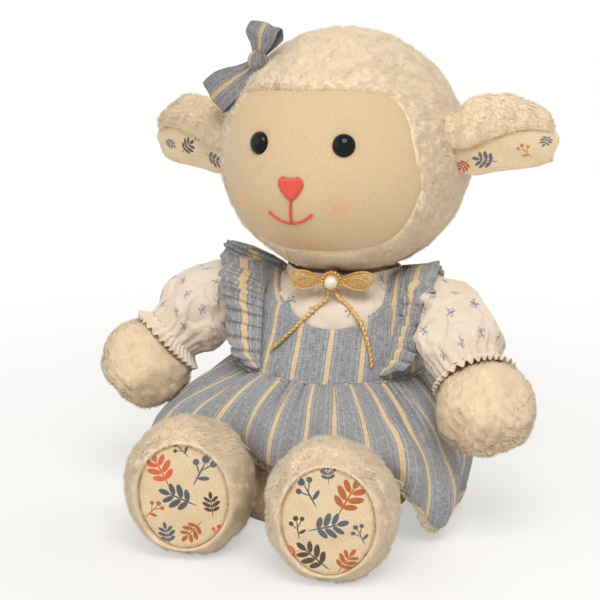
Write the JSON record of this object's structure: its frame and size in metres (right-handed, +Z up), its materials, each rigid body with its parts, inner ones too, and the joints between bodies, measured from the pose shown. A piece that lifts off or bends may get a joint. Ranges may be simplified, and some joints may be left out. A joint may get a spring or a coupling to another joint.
{
  "type": "plush sheep",
  "caption": "Seated soft toy sheep in a striped pinafore over a printed blouse, with a ball-shaped neck joint, swinging arms, splaying legs and folding ears.",
  "frame": {"origin": "centre of the flat seat under the torso", "axes": "+Z up, -Y the way the sheep faces, +X its left side"},
  "size_m": [0.2983, 0.2463, 0.3219],
  "materials": {
    "plush": "matte",
    "smooth_plush": "matte",
    "fibre": "matte",
    "blouse_cotton": "matte",
    "print_cotton": "matte",
    "striped_cotton": "matte",
    "lace": "matte",
    "coral_thread": "satin",
    "gold_cord": "satin",
    "black_plastic": "gloss",
    "white_plastic": "satin",
    "pearl_bead": "gloss"
  },
  "bodies": {
    "torso": {"torso_cover": "plush", "torso_stuffing": "fibre", "blouse_body": "blouse_cotton", "dress_bodice": "striped_cotton", "left_strap": "striped_cotton", "right_strap": "striped_cotton", "left_ruffle": "striped_cotton", "right_ruffle": "striped_cotton", "skirt": "striped_cotton", "skirt_lace": "lace", "neck_bow_knot": "gold_cord", "neck_pearl": "pearl_bead", "neck_bow_left_loop": "gold_cord", "neck_bow_right_loop": "gold_cord", "neck_bow_left_tail": "gold_cord", "neck_bow_right_tail": "gold_cord"},
    "neck": {"neck_stuffing": "fibre"},
    "head": {"head_cover": "plush", "face_panel": "smooth_plush", "head_stuffing": "fibre", "left_eye": "black_plastic", "right_eye": "black_plastic", "left_eye_washer": "white_plastic", "right_eye_washer": "white_plastic", "nose_embroidery": "coral_thread", "mouth_embroidery": "coral_thread", "hair_bow_knot": "striped_cotton", "hair_bow_upper_loop": "striped_cotton", "hair_bow_lower_loop": "striped_cotton"},
    "left_ear": {"left_ear_cover": "plush", "left_ear_lining": "blouse_cotton"},
    "left_arm": {"left_arm_cover": "plush", "left_arm_stuffing": "fibre", "left_sleeve": "blouse_cotton", "left_sleeve_cuff": "lace"},
    "left_leg": {"left_leg_cover": "plush", "left_leg_stuffing": "fibre", "left_foot_sole": "print_cotton"},
    "right_ear": {"right_ear_cover": "plush", "right_ear_lining": "blouse_cotton"},
    "right_arm": {"right_arm_cover": "plush", "right_arm_stuffing": "fibre", "right_sleeve": "blouse_cotton", "right_sleeve_cuff": "lace"},
    "right_leg": {"right_leg_cover": "plush", "right_leg_stuffing": "fibre", "right_foot_sole": "print_cotton"}
  },
  "joints": [
    {"name": "head_turn", "type": "hinge", "parent": "torso", "child": "neck", "pos_m": [0.01418, 0.026, 0.177], "axis": [0, 0, 1], "range_deg": [-25, 25], "stiffness_Nm_per_rad": 0.6},
    {"name": "head_nod", "type": "hinge", "parent": "neck", "child": "head", "pos_m": [0.01418, 0.026, 0.177], "axis": [1, 0, 0], "range_deg": [-4, 2], "stiffness_Nm_per_rad": 6},
    {"name": "left_ear_fold", "type": "hinge", "parent": "head", "child": "left_ear", "pos_m": [0.08837, 0.01044, 0.24734], "axis": [0.0435, -0.0027, -0.999], "range_deg": [-24, 8], "stiffness_Nm_per_rad": 0.1},
    {"name": "left_arm_swing", "type": "hinge", "parent": "torso", "child": "left_arm", "pos_m": [0.06216, 0.01862, 0.134], "axis": [-1, 0, 0], "range_deg": [-8, 45], "stiffness_Nm_per_rad": 1.5},
    {"name": "left_leg_splay", "type": "hinge", "parent": "torso", "child": "left_leg", "pos_m": [0.036, -0.026, 0.0275], "axis": [0, 0, 1], "range_deg": [-3, 8], "stiffness_Nm_per_rad": 1.5},
    {"name": "right_ear_fold", "type": "hinge", "parent": "head", "child": "right_ear", "pos_m": [-0.06697, 0.01994, 0.23554], "axis": [-0.0435, 0.0027, 0.999], "range_deg": [-24, 8], "stiffness_Nm_per_rad": 0.1},
    {"name": "right_arm_swing", "type": "hinge", "parent": "torso", "child": "right_arm", "pos_m": [-0.04184, 0.01862, 0.134], "axis": [-1, 0, 0], "range_deg": [-8, 45], "stiffness_Nm_per_rad": 1.5},
    {"name": "right_leg_splay", "type": "hinge", "parent": "torso", "child": "right_leg", "pos_m": [-0.036, -0.026, 0.0275], "axis": [0, 0, -1], "range_deg": [-3, 8], "stiffness_Nm_per_rad": 1.5}
  ]
}
